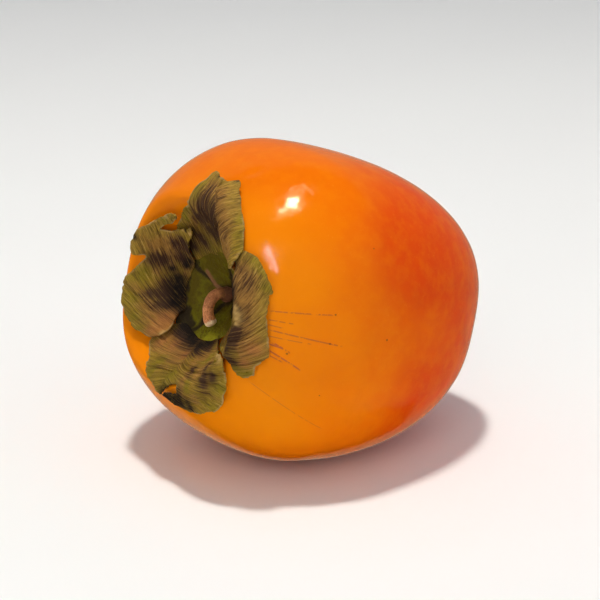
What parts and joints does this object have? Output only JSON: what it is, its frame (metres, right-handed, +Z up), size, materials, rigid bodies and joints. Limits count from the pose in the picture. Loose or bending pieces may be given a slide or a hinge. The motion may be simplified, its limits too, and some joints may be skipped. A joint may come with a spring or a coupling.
{
  "type": "persimmon",
  "caption": "Ripe elongated persimmon lying on its side on a small flat spot, with its dried lobed calyx and a short curved stem stub.",
  "frame": {"origin": "middle of the object's length and width, on the surface that it rests on", "axes": "+X towards the blossom end along the longest extent, the calyx towards -X and slightly raised, +Y to the back, +Z up"},
  "size_m": [0.0867, 0.0704, 0.0712],
  "materials": {
    "skin": "waxy glossy orange skin with faint dents and fine scratches",
    "calyx_green": "dried olive-green, dished, creased",
    "sepal": "dried leathery, matt, fine ribs, olive to purple-brown",
    "stem": "rough reddish-brown bark with a pale broken end",
    "style": "dried, dark, matt"
  },
  "bodies": {
    "root": {"fruit": "skin", "calyx_disc": "calyx_green", "sepal_upper": "sepal", "sepal_front": "sepal", "sepal_lower": "sepal", "sepal_back": "sepal", "stem": "stem", "style_tip": "style"}
  },
  "joints": []
}
